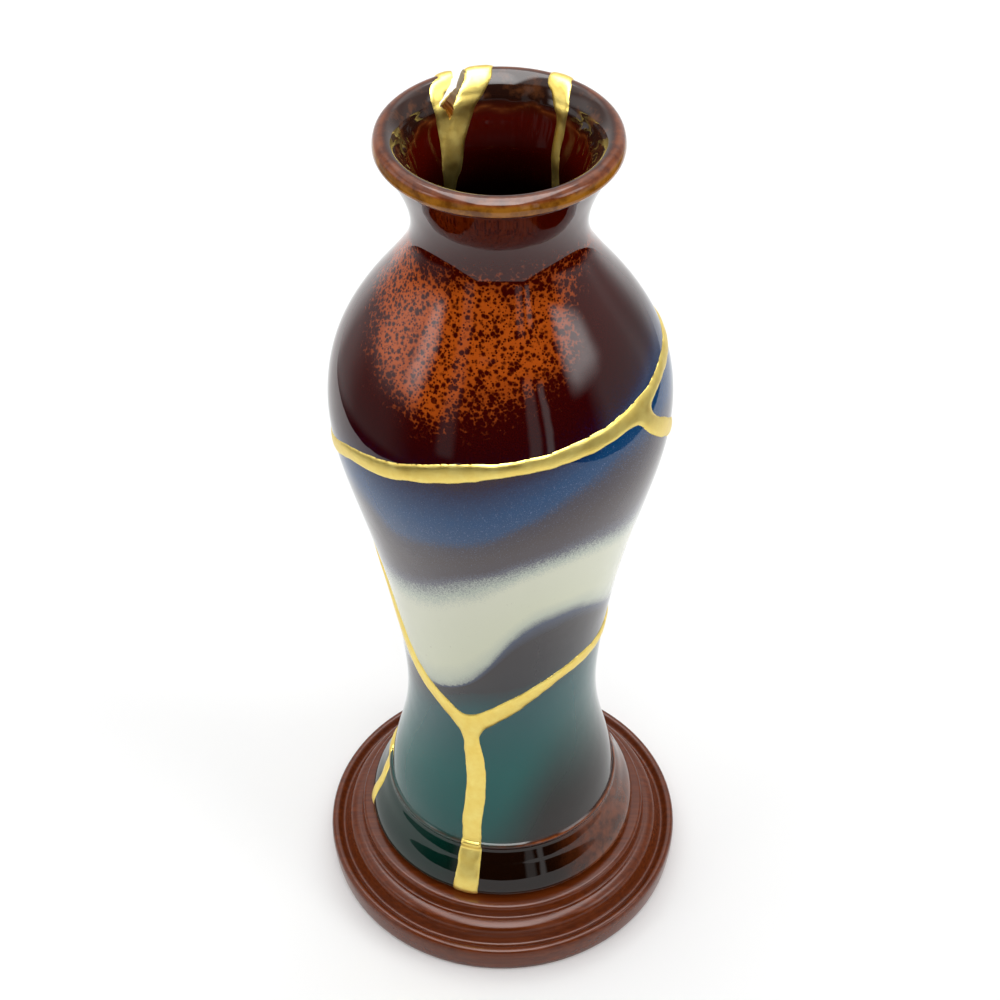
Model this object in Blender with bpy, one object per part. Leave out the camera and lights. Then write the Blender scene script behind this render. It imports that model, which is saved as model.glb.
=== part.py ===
"""A mended stoneware vase on a low turned wooden stand.

The vase is a hollow turned form: a flared foot band, a narrow waist, a high shoulder,
a short neck and a rolled, flaring lip. Raised gold seams cross it where it was mended,
and a thin sliver of the lip is missing. All sizes are in millimetres until a mesh is made.
The origin is the centre of the stand's underside, +Z is up and -Y is the front.
"""

from math import pi

import bmesh
import bpy
import numpy as np

for old in list(bpy.data.objects):
    bpy.data.objects.remove(old, do_unlink=True)

MM = 0.001
GAP = 0.3  # clearance between pieces that touch

# Stand: a flat disc, a cove, a bead and a raised plateau, from the edge inwards.
STAND_RADIUS = 50.9
STAND_EDGE_HEIGHT = 9.3
STAND_TOP = 17.2
PLATEAU_RADIUS = 41.2
STAND_SIDES = 44

# Vase: heights above the table, radii of its outside, and its walls.
FOOT_BOTTOM = STAND_TOP + GAP
FOOT_RADIUS = 38.15
RIDGE_HEIGHT = 33.2
RIDGE_RADIUS = 32.3
WAIST_RADIUS = 26.1
SHOULDER_RADIUS = 42.2
NECK_RADIUS = 20.4
LIP_RADIUS = 28.15
LIP_TOP = 247.0
BODY_WALL = 3.9
FLOOR_HEIGHT = 29.0
VASE_SIDES = 46

# Seams: width of the gold and how far it stands off the glaze.
SEAM_WIDTH = 4.8
SEAM_THICKNESS = 0.55

OUTSIDE = (
    (FOOT_BOTTOM, 35.6),
    (18.4, 37.0),
    (20.8, FOOT_RADIUS),
    (24.6, 36.7),
    (29.5, 34.1),
    (RIDGE_HEIGHT, RIDGE_RADIUS),
    (39.5, 31.2),
    (49.5, 28.8),
    (60.0, 26.8),
    (72.0, WAIST_RADIUS),
    (84.0, 26.7),
    (100.0, 28.5),
    (117.0, 31.0),
    (134.0, 34.7),
    (151.0, 38.95),
    (162.0, 41.3),
    (172.0, SHOULDER_RADIUS),
    (181.0, 41.35),
    (188.0, 39.5),
    (194.0, 36.85),
    (201.0, 32.4),
    (207.0, 28.0),
    (212.5, 24.1),
    (218.0, 21.3),
    (223.0, NECK_RADIUS),
    (228.5, 20.9),
    (234.0, 22.7),
    (240.0, 25.5),
    (244.2, 27.75),
    (245.6, LIP_RADIUS),
    (246.7, 27.6),
)
LIP = ((LIP_TOP, 26.4), (246.8, 25.2), (246.1, 24.2))
THROAT = (
    (243.6, 22.6),
    (240.0, 21.0),
    (236.0, 19.6),
    (231.0, 18.0),
    (226.0, 17.15),
    (221.0, 17.3),
    (216.0, 18.7),
    (211.0, 21.4),
    (205.0, 25.8),
)


def curve_through(points, per_span):
    """Catmull-Rom curve through the points, with per_span steps between neighbours."""
    p = np.asarray(points, dtype=float)
    p = np.vstack([2 * p[0] - p[1], p, 2 * p[-1] - p[-2]])
    t = np.linspace(0.0, 1.0, per_span, endpoint=False)[:, None]
    spans = [
        0.5 * (2 * b + (c - a) * t + (2 * a - 5 * b + 4 * c - d) * t**2 + (3 * b - a - 3 * c + d) * t**3)
        for a, b, c, d in zip(p[:-3], p[1:-2], p[2:-1], p[3:])
    ]
    return np.vstack(spans + [p[-2][None]])


def inside_points():
    """Inner wall: lip and throat, then every other station of the outside moved in, then a floor."""
    body = [(z, r - BODY_WALL) for z, r in OUTSIDE[21:5:-2]]
    floor = [(34.0, 25.2), (30.6, 20.5), (FLOOR_HEIGHT, 12.0), (FLOOR_HEIGHT, 0.0)]
    return list(LIP) + list(THROAT) + body + floor


def spin_profile(name, profile, sides):
    """Turns a (height, radius) profile around Z into one closed mesh object."""
    bm = bmesh.new()
    verts = [bm.verts.new((r * MM, 0.0, z * MM)) for z, r in profile]
    edges = [bm.edges.new(pair) for pair in zip(verts[:-1], verts[1:])]
    bmesh.ops.spin(
        bm, geom=verts + edges, cent=(0, 0, 0), axis=(0, 0, 1), angle=2 * pi, steps=sides, use_merge=True
    )
    bmesh.ops.remove_doubles(bm, verts=bm.verts, dist=1e-6)
    bmesh.ops.recalc_face_normals(bm, faces=bm.faces)
    mesh = bpy.data.meshes.new(name)
    bm.to_mesh(mesh)
    bm.free()
    mesh.shade_smooth()
    mesh.set_sharp_from_angle(angle=0.7)
    obj = bpy.data.objects.new(name, mesh)
    bpy.context.scene.collection.objects.link(obj)
    return obj


def give_material(obj, name, colour, roughness, metallic):
    """One plain surface for each piece."""
    mat = bpy.data.materials.new(name)
    mat.use_nodes = True
    surface = mat.node_tree.nodes["Principled BSDF"]
    surface.inputs["Base Color"].default_value = (*colour, 1.0)
    surface.inputs["Roughness"].default_value = roughness
    surface.inputs["Metallic"].default_value = metallic
    obj.data.materials.append(mat)


# Wooden stand, turned in one piece with a flat underside and a flat plateau.
stand_profile = [
    (0.0, 0.0),
    (0.0, STAND_RADIUS - 1.4),
    (0.5, STAND_RADIUS - 0.9),
    (4.0, STAND_RADIUS - 0.2),
    (7.6, STAND_RADIUS),
    (STAND_EDGE_HEIGHT - 0.3, STAND_RADIUS - 0.4),
    (STAND_EDGE_HEIGHT, STAND_RADIUS - 1.2),
    (STAND_EDGE_HEIGHT - 0.7, STAND_RADIUS - 2.5),
    (7.8, STAND_RADIUS - 3.4),
    (8.7, STAND_RADIUS - 4.4),
    (10.2, STAND_RADIUS - 5.3),
    (11.6, STAND_RADIUS - 5.9),
    (12.7, STAND_RADIUS - 6.8),
    (13.2, PLATEAU_RADIUS + 1.7),
    (13.1, PLATEAU_RADIUS + 0.6),
    (14.0, PLATEAU_RADIUS + 0.1),
    (STAND_TOP - 0.7, PLATEAU_RADIUS),
    (STAND_TOP, PLATEAU_RADIUS - 0.6),
    (STAND_TOP, 0.0),
]
wooden_stand = spin_profile("wooden_stand", stand_profile, STAND_SIDES)
give_material(wooden_stand, "turned_wood", (0.19, 0.09, 0.06), 0.38, 0.0)

# Vase: foot ring with a shallow recess, outside wall, lip, throat and inside wall.
foot_ring = [(21.5, 0.0), (21.5, 30.2), (FOOT_BOTTOM, 31.2)]
vase = spin_profile("vase", foot_ring + list(OUTSIDE) + inside_points(), VASE_SIDES)
give_material(vase, "glazed_stoneware", (0.10, 0.12, 0.13), 0.15, 0.0)

# The wall line that the seams follow, from the foot over the lip into the throat.
line = np.array(OUTSIDE + LIP + THROAT)
arc = np.concatenate([[0.0], np.cumsum(np.hypot(*np.diff(line, axis=0).T))])
crest = arc[np.argmax(line[:, 0])]
band_foot = arc[line[:, 0] < 41.0][-1]


def wall(turn, along, lift):
    """Point on the wall at an angle and arc length, lifted off the glaze along its normal."""
    z = np.interp(along, arc, line[:, 0])
    r = np.interp(along, arc, line[:, 1])
    dz = np.interp(along + 0.4, arc, line[:, 0]) - np.interp(along - 0.4, arc, line[:, 0])
    dr = np.interp(along + 0.4, arc, line[:, 1]) - np.interp(along - 0.4, arc, line[:, 1])
    size = np.hypot(dz, dr)
    z, r = z - dr / size * lift, r + dz / size * lift
    return np.stack([r * np.sin(turn), -r * np.cos(turn), z], axis=-1)


def along_at(height, inside=False):
    """Arc length of a height, on the outer or the inner side of the lip."""
    part = arc >= crest if inside else arc <= crest
    z, s = line[part, 0], arc[part]
    order = np.argsort(z)
    return float(np.interp(height, z[order], s[order]))


def step_at(along):
    """Length of a seam's facets: short where the wall turns sharply, at the foot and the lip."""
    stops = (band_foot, band_foot + 8.0, crest - 9.0, crest - 4.0, crest + 3.0, crest + 8.0)
    return np.interp(along, stops, (1.3, 6.6, 6.6, 1.2, 1.2, 3.4))


def seam(name, route, width, lift, closed=False):
    """A raised band along a route of (degrees, arc length), with a flat top and square sides."""
    knots = np.array(route, dtype=float)
    if closed:
        knots = np.vstack([knots, knots[0] + (360.0, 0.0)])
    path = curve_through(knots, 24)
    turn, along = np.radians(path[:, 0]), path[:, 1]
    radius = np.interp(along, arc, line[:, 1])
    pace = np.hypot(np.diff(turn) * radius[1:], np.diff(along))
    pace = pace / step_at(along[1:])
    run = np.concatenate([[0.0], np.cumsum(pace)])
    count = max(int(round(run[-1])), 3)
    marks = np.linspace(0.0, run[-1], count + 1)
    turn, along = np.interp(marks, run, turn), np.interp(marks, run, along)
    radius = np.interp(along, arc, line[:, 1])
    side_turn, side_along = np.gradient(turn) * radius, np.gradient(along)
    size = np.hypot(side_turn, side_along)
    side_turn, side_along = -side_along / size / radius, side_turn / size
    if closed:
        turn, along = turn[:-1], along[:-1]
        side_turn[0] = side_turn[-1] = 0.5 * (side_turn[0] + side_turn[-1])
        side_along[0] = side_along[-1] = 0.5 * (side_along[0] + side_along[-1])
        side_turn, side_along = side_turn[:-1], side_along[:-1]
    corners = ((-0.5, 0), (0.0, 0), (0.5, 0), (0.5, 1), (0.0, 1), (-0.5, 1))
    bm = bmesh.new()
    rings = []
    for i in range(len(turn)):
        ring = []
        for across, up in corners:
            at_turn = turn[i] + side_turn[i] * across * width
            at_along = along[i] + side_along[i] * across * width
            at = wall(at_turn, at_along, lift + up * SEAM_THICKNESS) * MM
            ring.append(bm.verts.new(at))
        rings.append(ring)
    pairs = list(zip(rings[:-1], rings[1:])) + ([(rings[-1], rings[0])] if closed else [])
    for first, second in pairs:
        for j in range(6):
            k = (j + 1) % 6
            bm.faces.new((first[j], first[k], second[k], second[j]))
    if not closed:
        bm.faces.new(rings[0])
        bm.faces.new(rings[-1])
    bmesh.ops.recalc_face_normals(bm, faces=bm.faces)
    mesh = bpy.data.meshes.new(name)
    bm.to_mesh(mesh)
    bm.free()
    obj = bpy.data.objects.new(name, mesh)
    bpy.context.scene.collection.objects.link(obj)
    return obj


def outer(*stops):
    """Route on the outside, from stops of (degrees, height)."""
    return [(a, along_at(z)) for a, z in stops]


def inner(*stops):
    """Route on the inside of the throat, from stops of (degrees, height)."""
    return [(a, along_at(z, inside=True)) for a, z in stops]


# Ring seam round the shoulder, low at the left and high at the right.
shoulder_ring = outer(
    (-118, 160), (-98, 161), (-77, 165), (-57, 172.5), (-32, 178), (0, 183), (25, 185), (52, 187),
    (84, 188.5), (110, 186), (135, 181), (160, 175), (180, 171), (205, 166), (225, 162),
)
gold = seam("gold_seams", shoulder_ring, SEAM_WIDTH, GAP, closed=True)

# The others join it. Each lies a little higher than the last, so no two tops share a plane.
joining = {
    "seam_right_shard": (
        outer((52, 187), (58, 182), (68, 174), (82, 166), (98, 160), (116, 158))
        + outer((134, 163), (147, 171), (155, 176.5)),
        4.6,
    ),
    "seam_rim_right": (
        inner((131, 226), (135, 232), (138, 240)) + [(146, crest)]
        + outer((147, 243), (146, 232), (143, 220), (140, 206), (137, 192), (135, 181)),
        4.4,
    ),
    "seam_rim_left": (
        inner((-139, 226), (-143, 232), (-142, 239), (-144, 244)) + [(-150.5, crest)]
        + outer((-151, 243), (-152, 236), (-155, 226), (-155, 214), (-152, 200), (-148, 184), (-146, 164)),
        4.4,
    ),
    "seam_rim_chip": (
        inner((-143, 232), (-153, 238), (-163, 242)) + [(-170.5, crest)]
        + outer((-171, 243), (-166, 235), (-156, 226)),
        4.4,
    ),
    "seam_waist_left": (
        outer((-18, 76), (-32, 80.5), (-50, 88.5), (-65, 99), (-75, 111), (-84, 125), (-97, 140), (-116, 160)),
        4.8,
    ),
    "seam_waist_right": (
        outer((-22, 77), (-7, 81), (7, 86.5), (20, 91.5), (35, 95.5), (64, 96.5), (90, 98), (118, 106))
        + outer((142, 118), (162, 134), (174, 152), (180, 171)),
        4.8,
    ),
    "seam_stem": (outer((-20, 79), (-18, 66), (-15, 54), (-16, 44), (-16, 32), (-16, 20)), 5.0),
    "seam_foot_left": (
        outer((-85, 20), (-87, 30), (-96, 41), (-112, 55), (-132, 69), (-154, 82))
        + outer((-178, 95), (-196, 108), (-209, 121)),
        4.2,
    ),
}
for rank, (name, (route, width)) in enumerate(joining.items(), start=1):
    branch = seam(name, route, width, GAP + 0.03 * rank)
    branch.hide_render = True
    branch.display_type = "WIRE"
    join = gold.modifiers.new(name, "BOOLEAN")
    join.operation = "UNION"
    join.object = branch
give_material(gold, "gold_lacquer", (0.80, 0.62, 0.22), 0.35, 1.0)

# The lost sliver of the lip: a slanting wedge that runs out through the far wall and down.
notch_outline = ((-4.7, 250.0), (-4.4, 247.3), (-2.1, 244.5), (-0.5, 243.6), (3.1, 242.0), (1.0, 244.1),
                 (-0.7, 245.7), (-1.9, 247.2), (-2.4, 250.0))
NOTCH_TURN = -150.0
NOTCH_RADIUS = 23.0
NOTCH_FALL = 0.62
bm = bmesh.new()
ends = []
for reach in (-5.0, 10.0):
    ring = []
    for across, height in notch_outline:
        turn = np.radians(NOTCH_TURN + across / NOTCH_RADIUS * 57.3)
        x, y = NOTCH_RADIUS * np.sin(turn), -NOTCH_RADIUS * np.cos(turn)
        ring.append(bm.verts.new((x * MM, (y + reach) * MM, (height - reach * NOTCH_FALL) * MM)))
    ends.append(ring)
count = len(notch_outline)
for j in range(count):
    k = (j + 1) % count
    bm.faces.new((ends[0][j], ends[0][k], ends[1][k], ends[1][j]))
bm.faces.new(ends[0])
bm.faces.new(ends[1])
bmesh.ops.recalc_face_normals(bm, faces=bm.faces)
notch_mesh = bpy.data.meshes.new("lip_sliver")
bm.to_mesh(notch_mesh)
bm.free()
lip_sliver = bpy.data.objects.new("lip_sliver", notch_mesh)
bpy.context.scene.collection.objects.link(lip_sliver)
lip_sliver.hide_render = True
lip_sliver.display_type = "WIRE"
for piece in (vase, gold):
    cut = piece.modifiers.new("lost_sliver", "BOOLEAN")
    cut.operation = "DIFFERENCE"
    cut.object = lip_sliver
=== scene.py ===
import math

import bmesh
import bpy
import numpy as np
from mathutils import Matrix


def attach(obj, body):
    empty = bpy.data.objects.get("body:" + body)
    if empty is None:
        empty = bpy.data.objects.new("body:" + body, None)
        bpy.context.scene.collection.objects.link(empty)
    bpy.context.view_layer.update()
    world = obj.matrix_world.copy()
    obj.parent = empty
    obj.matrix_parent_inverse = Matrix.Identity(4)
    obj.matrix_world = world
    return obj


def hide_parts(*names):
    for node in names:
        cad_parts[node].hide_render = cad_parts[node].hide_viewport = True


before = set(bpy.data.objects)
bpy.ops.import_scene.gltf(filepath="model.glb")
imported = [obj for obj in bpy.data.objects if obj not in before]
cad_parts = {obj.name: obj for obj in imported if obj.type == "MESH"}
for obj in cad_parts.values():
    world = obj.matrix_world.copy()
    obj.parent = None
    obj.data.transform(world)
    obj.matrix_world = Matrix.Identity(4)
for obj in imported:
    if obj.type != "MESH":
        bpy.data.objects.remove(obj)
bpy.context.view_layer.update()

# The vase: wheel-thrown stoneware, hollow and empty, with a wall of about 4 mm. A trimmed
# foot band, a narrow waist, a high shoulder, a short neck and a rolled, flaring lip. Its
# poured glazes ran into each other in the kiln. A sliver of the lip is lost and stays open.
MM = 0.001
BODY_WALL = 3.9
COLUMNS = 256  # round the vase

# (height, radius) stations in mm, from the table up.
FOOT_BAND = (
    (17.5, 35.9), (17.6, 36.5), (18.05, 37.3), (18.8, 37.9), (19.7, 38.15), (20.8, 38.0), (22.2, 37.6),
    (24.6, 36.55), (27.5, 34.95), (30.4, 33.45), (32.3, 32.62), (32.9, 32.72), (33.5, 32.75),
    (33.9, 32.45), (34.3, 31.98),
)
BODY = (
    (34.3, 31.98), (39.5, 31.1), (49.5, 28.8), (60, 26.85), (72, 26.1), (84, 26.7), (100, 28.5),
    (117, 31.15), (134, 34.75), (151, 38.9), (162, 41.25), (172, 42.2), (181, 41.4), (188, 39.5),
    (194, 36.75), (201, 32.4), (207, 28.0), (212.5, 24.2), (218, 21.4), (223, 20.4), (228.5, 20.95),
    (234, 22.7), (239, 25.05), (242.4, 26.85),
)
LIP = (
    (242.4, 26.85), (242.65, 27.3), (242.9, 27.75), (243.3, 28.1), (243.9, 28.22), (244.6, 28.17),
    (245.3, 28.02), (245.9, 27.8), (246.35, 27.45), (246.7, 26.95), (246.93, 26.35), (247.0, 25.75),
    (246.8, 24.95), (246.2, 24.1), (245.2, 23.15), (244.0, 22.35), (242.9, 21.85),
)
THROAT = (
    (242.9, 21.85), (242.3, 21.45), (241.4, 21.1), (239.5, 20.75), (236, 19.7), (231, 18.0),
    (226, 17.15), (221, 17.3), (216, 18.7), (211, 21.4), (205, 25.6),
)
INSIDE_FLOOR = (
    (41.0, 27.0), (36.0, 25.9), (32.6, 23.4), (30.3, 19.0), (29.2, 12.0), (29.0, 5.0), (29.0, 0.0),
)
FOOT_RING = (
    (21.5, 0.0), (21.5, 28.6), (21.2, 29.6), (20.2, 30.5), (18.3, 30.95), (17.6, 31.3), (17.5, 31.8),
)


def linear(hex_colour):
    """sRGB hex to linear light: each channel c becomes ((c + 0.055) / 1.055) ** 2.4, dark ones c / 12.92."""
    c = np.array([int(hex_colour[i : i + 2], 16) / 255 for i in (1, 3, 5)])
    return (*np.where(c <= 0.04045, c / 12.92, ((c + 0.055) / 1.055) ** 2.4).tolist(), 1.0)


def smooth_line(stations, at):
    """Natural cubic through stations of (parameter, values), read at the parameters given: one cubic a span,
    with slope and bend the same on both sides of a station, and no bend at the ends."""
    table = np.asarray(stations, dtype=float)
    t, y = table[:, 0], table[:, 1:]
    h, n = np.diff(t), len(t)
    system, pull = np.eye(n), np.zeros_like(y)
    i = np.arange(1, n - 1)
    system[i, i - 1], system[i, i], system[i, i + 1] = h[:-1], 2 * (h[:-1] + h[1:]), h[1:]
    pull[1:-1] = 6 * np.diff(np.diff(y, axis=0) / h[:, None], axis=0)
    bend = np.linalg.solve(system, pull)
    at = np.asarray(at, dtype=float)
    k = np.clip(np.searchsorted(t, at, side="right") - 1, 0, n - 2)
    a, b = ((t[k + 1] - at) / h[k])[:, None], ((at - t[k]) / h[k])[:, None]
    return a * y[k] + b * y[k + 1] + ((a**3 - a) * bend[k] + (b**3 - b) * bend[k + 1]) * h[k, None] ** 2 / 6


def smooth_profile(stations, step):
    """Smooth (height, radius) line through the stations, by its length, with points about a step apart."""
    p = np.asarray(stations, dtype=float)
    run = np.concatenate([[0.0], np.cumsum(np.hypot(*np.diff(p, axis=0).T))])
    count = max(int(round(run[-1] / step)), len(p))
    return smooth_line(np.column_stack([run, p]), np.linspace(0.0, run[-1], count + 1))


def joined(*parts):
    """Profiles one after the other, with the point that two neighbours share kept once."""
    return np.vstack([parts[0]] + [p[1:] for p in parts[1:]])


def on_wall(turn, height, radius):
    """Point in mm: x = radius sin(turn), y = -radius cos(turn), z = height. Turn 0 is the front."""
    return np.stack(np.broadcast_arrays(radius * np.sin(turn), -radius * np.cos(turn), height), axis=-1)


def new_piece(name, points, faces):
    """Mesh object at the origin, from points in mm and faces of point numbers, smooth-shaded."""
    mesh = bpy.data.meshes.new(name)
    mesh.from_pydata((np.asarray(points) * MM).tolist(), [], faces)
    mesh.shade_smooth()
    obj = bpy.data.objects.new(name, mesh)
    bpy.context.scene.collection.objects.link(obj)
    return obj


def turned(name, profile, columns):
    """Surface of revolution of a (height, radius) profile whose two ends lie on the axis: a grid of profile
    points by turns, with one shared point at each end. The profile runs so that its left side, seen with up
    ahead, is outside."""
    ring = profile[1:-1]
    turn = np.linspace(0, 2 * np.pi, columns, endpoint=False)[None, :]
    grid = on_wall(turn, ring[:, :1], ring[:, 1:]).reshape(-1, 3)
    ends = on_wall(0.0, profile[[0, -1], 0], np.zeros(2))
    row, col = np.mgrid[0 : len(ring) - 1, 0:columns]
    a, b = row * columns + col, row * columns + (col + 1) % columns
    quads = np.stack([a, b, b + columns, a + columns], axis=-1).reshape(-1, 4)
    j = np.arange(columns)
    k, last, pole = (j + 1) % columns, (len(ring) - 1) * columns, len(grid)
    fans = np.concatenate([
        np.stack([np.full(columns, pole), k, j], axis=-1),
        np.stack([np.full(columns, pole + 1), last + j, last + k], axis=-1),
    ])
    return new_piece(name, np.vstack([grid, ends]), quads.tolist() + fans.tolist())


# The missing piece of the lip: its outline on the inner face, in degrees and height, and on the outer face.
# Its right-hand break runs slanted through the wall, so the front sees that break's clay.
LOST_SLIVER = (
    (-156.5, 251.5, -157.2, 250.0), (-155.2, 247.8, -156.6, 246.8), (-154.4, 246.8, -155.8, 245.0),
    (-153.2, 246.3, -155.0, 244.1), (-149.1, 245.0, -152.0, 242.4), (-145.7, 244.0, -149.6, 241.3),
    (-142.2, 243.2, -147.2, 240.4), (-141.0, 242.5, -146.4, 239.8), (-142.7, 242.0, -147.0, 239.5),
    (-144.3, 241.3, -147.6, 239.45), (-145.4, 240.0, -148.2, 239.55), (-146.4, 238.9, -148.9, 239.75),
    (-148.5, 239.4, -150.0, 240.0), (-150.5, 240.6, -151.6, 240.4), (-151.8, 242.0, -154.3, 241.2),
    (-155.0, 243.5, -156.4, 241.8), (-158.0, 244.7, -158.6, 242.4), (-160.8, 246.3, -161.1, 243.9),
    (-162.6, 247.3, -162.3, 245.6), (-164.0, 248.6, -163.2, 247.5), (-165.5, 251.5, -164.5, 250.0),
)


def lost_sliver(name, inner_line, outer_line):
    """The missing piece as a solid: straight lines from its inner outline to its outer one, carried on by
    0.8 of their length inwards and 0.25 outwards, where they draw together."""
    turn_in, height_in, turn_out, height_out = np.array(LOST_SLIVER).T
    inner_line = inner_line[np.argsort(inner_line[:, 0])]
    outer_line = outer_line[np.argsort(outer_line[:, 0])]
    near = on_wall(np.radians(turn_in), height_in, np.interp(height_in, *inner_line.T))
    far = on_wall(np.radians(turn_out), height_out, np.interp(height_out, *outer_line.T))
    points = np.vstack([near - 0.8 * (far - near), far + 0.25 * (far - near)])
    n = len(near)
    j = np.arange(n)
    sides = np.stack([j, (j + 1) % n, (j + 1) % n + n, j + n], axis=-1)
    cutter = new_piece(name, points, sides.tolist() + [j[::-1].tolist(), (j + n).tolist()])
    bm = bmesh.new()
    bm.from_mesh(cutter.data)
    bmesh.ops.triangulate(bm, faces=bm.faces)
    bmesh.ops.recalc_face_normals(bm, faces=bm.faces)
    for face in bm.faces:
        face.material_index = 1
    bm.to_mesh(cutter.data)
    bm.free()
    return cutter


def cut_away(piece, cutter):
    """Takes the cutter's space out of the piece for good."""
    cut = piece.modifiers.new("cut", "BOOLEAN")
    cut.operation, cut.solver, cut.object = "DIFFERENCE", "EXACT", cutter
    whole = piece.data
    piece.data = bpy.data.meshes.new_from_object(piece.evaluated_get(bpy.context.evaluated_depsgraph_get()))
    piece.modifiers.clear()
    bpy.data.meshes.remove(whole)
    piece.data.name = piece.name


outside = joined(smooth_profile(FOOT_BAND, 0.45), smooth_profile(BODY, 1.3))
rim = smooth_profile(LIP, 0.4)
throat = smooth_profile(THROAT, 0.75)
body = smooth_profile(BODY, 4.0)
hollow = body[(body[:, 0] < 198) & (body[:, 0] > 46)][::-1] - (0.0, BODY_WALL)
hollow = smooth_profile(np.vstack([throat[-1:], hollow[1:], INSIDE_FLOOR]), 4.0)
vase_profile = joined(smooth_profile(FOOT_RING, 1.0), np.array([(17.5, 31.8), (17.5, 35.6)]), outside, rim,
                      throat, hollow)
vase_profile[-1, 1] = vase_profile[0, 1] = 0.0
thrown_vase = turned("thrown_vase", vase_profile, COLUMNS)


def points_of(piece):
    """x, y and z of the mesh's points in mm, each as one array."""
    co = np.empty(len(piece.data.vertices) * 3, dtype=np.float32)
    piece.data.vertices.foreach_get("co", co)
    return co.reshape(-1, 3).T.astype(float) / MM


def ramp_up(value, low, high):
    """0 below the low value, 1 above the high one, a smooth S between. It falls if high is the lower."""
    t = np.clip((value - low) / (high - low), 0, 1)
    return t * t * (3 - 2 * t)


def pooled_edge(turn):
    """Height in mm of the thick edge where the flare's glaze stops: 241.2 plus four sine waves round it."""
    height = 241.2 + 0.45 * np.sin(5 * turn + 0.8) + 0.4 * np.sin(9 * turn + 2.1)
    return height + 0.35 * np.sin(14 * turn) + 0.2 * np.sin(23 * turn + 1.3)


# Where the glaze pooled, a bead up to 0.5 mm proud runs round the throat, with drips under it.
# Both fade out where the gold crosses, at 139 degrees and from -174 to -124.
x, y, z = points_of(thrown_vase)
turn, radius = np.arctan2(x, -y), np.hypot(x, y)
degrees_round = np.degrees(turn)
from_arms = np.clip(np.abs((degrees_round + 149 + 180) % 360 - 180) - 25, 0, 99)
from_gold = np.minimum(np.abs(degrees_round - 139), from_arms)
lumpy = ramp_up(from_gold, 9, 17) * (0.55 + 0.45 * ramp_up(np.abs(degrees_round), 150, 120))
lumpy *= (radius < np.interp(z, outside[:, 0], outside[:, 1]) - 1.5) & (z > 230) & (z < 245)
bead = 0.5 * np.exp(-(((z - pooled_edge(turn)) / 0.75) ** 2)) * (0.65 + 0.35 * np.sin(19 * turn + 0.5))
drips = 0.28 * np.clip(np.sin(31 * turn + 1.5 * np.sin(7 * turn)), 0, 1)
drips = drips * ramp_up(z, 233, 239) * ramp_up(z, 242.5, 240.5)
scale = 1 - lumpy * (bead + drips) / np.maximum(radius, 1)
lumps = np.stack([x * scale, y * scale, z], axis=-1) * MM
thrown_vase.data.vertices.foreach_set("co", lumps.astype(np.float32).ravel())

crest = int(np.argmax(rim[:, 0]))
inner_face, outer_face = joined(rim[crest:], throat), joined(outside[outside[:, 0] > 200], rim[:crest])
sliver = lost_sliver("lip_sliver", inner_face[inner_face[:, 0] < 246.3], outer_face[outer_face[:, 0] < 244])
thrown_vase.data.materials.append(bpy.data.materials.new("layered_stoneware_glaze"))
thrown_vase.data.materials.append(bpy.data.materials.new("broken_stoneware"))
cut_away(thrown_vase, sliver)
thrown_vase.data.set_sharp_from_angle(angle=math.radians(38))

# Edges between the glazes, as heights in mm by degrees round the vase, from the foot up.
GLAZE_EDGES = (
    ((0, 33.4), (90, 33.4), (180, 33.4), (270, 33.4)),
    ((-34.6, 86.6), (-26, 89.0), (-16, 91.0), (-4, 92.2), (6, 93.2), (15.3, 94.6), (32.1, 98.5),
     (60, 101), (100, 94), (140, 90), (180, 88), (220, 86), (260, 83), (300, 82)),
    ((-42, 88.6), (-26.4, 92), (-14.5, 97.8), (-3.8, 107.4), (4.4, 115.9), (11.9, 121.3), (23.1, 123.7),
     (35.8, 123.5), (52.5, 117.8), (80, 108), (120, 102), (160, 100), (200, 101), (240, 97), (280, 91)),
    ((-47.7, 130), (-27, 136.5), (-14, 141.8), (-3, 144.9), (6, 148.4), (14.7, 150.3), (25.4, 152.2),
     (37.7, 151.9), (49.7, 150.2), (80, 146), (120, 138), (160, 131), (200, 127), (240, 124.5),
     (280, 125)),
    ((-52.5, 160), (-42, 155), (-32, 154.8), (-19, 157), (-7, 159.7), (2.4, 164.6), (12.3, 168.8),
     (22.7, 173.5), (33.3, 176.8), (42.6, 178.9), (51.3, 179.7), (90, 178), (120, 172), (150, 163),
     (180, 156), (210, 150), (240, 149), (280, 155)),
    ((-77, 171), (-57, 176), (-32, 178), (-10, 179), (2, 181), (20, 184.5), (35, 188), (52, 192),
     (70, 195), (90, 197), (110, 195), (135, 190), (160, 184), (180, 179), (205, 174), (225, 170),
     (242, 168), (262, 168)),
)
AMBER_FOOT = (
    (-95, 206), (-70, 201), (-50, 196.5), (-38, 193.5), (-25, 191.5), (-12, 192.5), (0, 195),
    (12, 197.5), (25, 201), (36, 206), (46, 213), (70, 218), (100, 212), (130, 203), (160, 197),
    (190, 196), (220, 200), (245, 207),
)


def round_the_vase(edge, turn):
    """Height of a closed edge at each turn, on a smooth line through three turns of the same stations."""
    stations = np.array(sorted((a % 360, z) for a, z in edge), dtype=float)
    stations = np.vstack([stations - (360, 0), stations, stations + (360, 0)])
    return smooth_line(stations, np.degrees(turn).ravel() % 360)[:, 0].reshape(turn.shape)


def set_attribute(piece, name, values):
    """Writes one number for each point of the mesh."""
    layer = piece.data.attributes.new(name, "FLOAT", "POINT")
    layer.data.foreach_set("value", np.ascontiguousarray(values, dtype=np.float32))


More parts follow.
